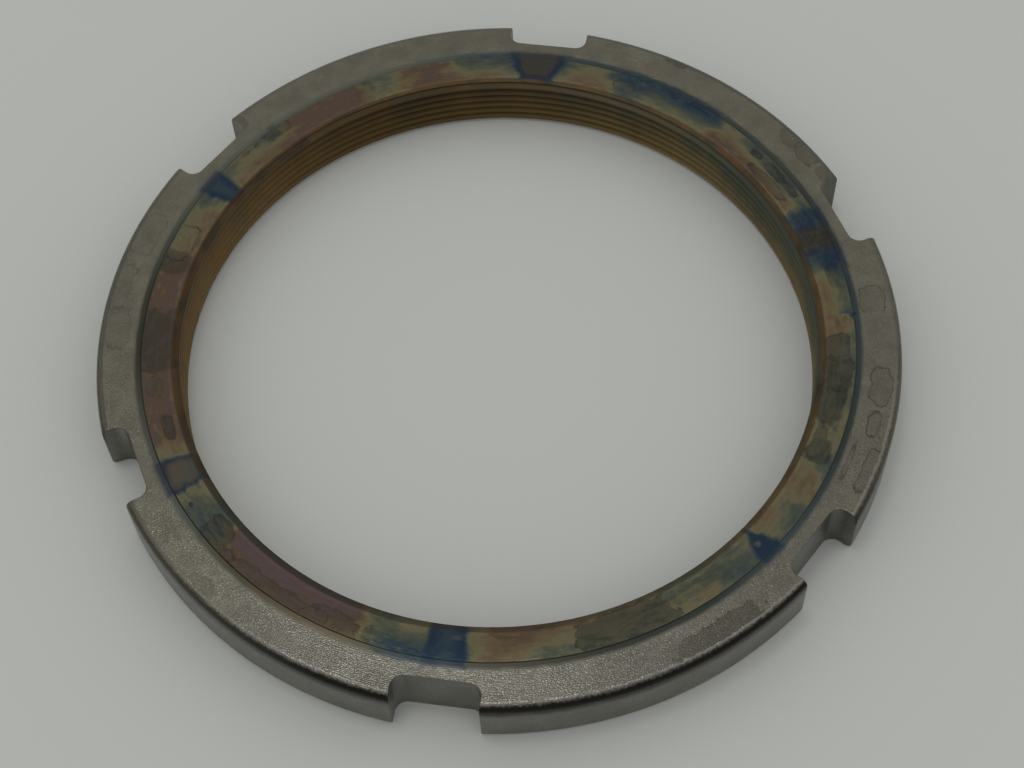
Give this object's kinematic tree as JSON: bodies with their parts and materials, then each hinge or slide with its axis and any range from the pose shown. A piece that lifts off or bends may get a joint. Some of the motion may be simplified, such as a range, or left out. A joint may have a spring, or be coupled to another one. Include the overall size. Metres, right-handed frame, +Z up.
{
  "type": "bearing lock nut",
  "caption": "Flat slotted ring nut with a fine internal thread. It clamps a bearing on its shaft and is turned by a wrench in the slots across its rim.",
  "frame": {"origin": "centre of the underside, on the thread axis", "axes": "+Z up along the thread axis, from the underside to the face with the lip; two of the wrench slots lie on the Y axis"},
  "size_m": [0.124, 0.1232, 0.01],
  "materials": {
    "nut_steel": "bead-blasted grey steel, with a smoother heat-tinted inner annulus and thread"
  },
  "bodies": {
    "root": {"lock_nut": "nut_steel"}
  },
  "joints": []
}
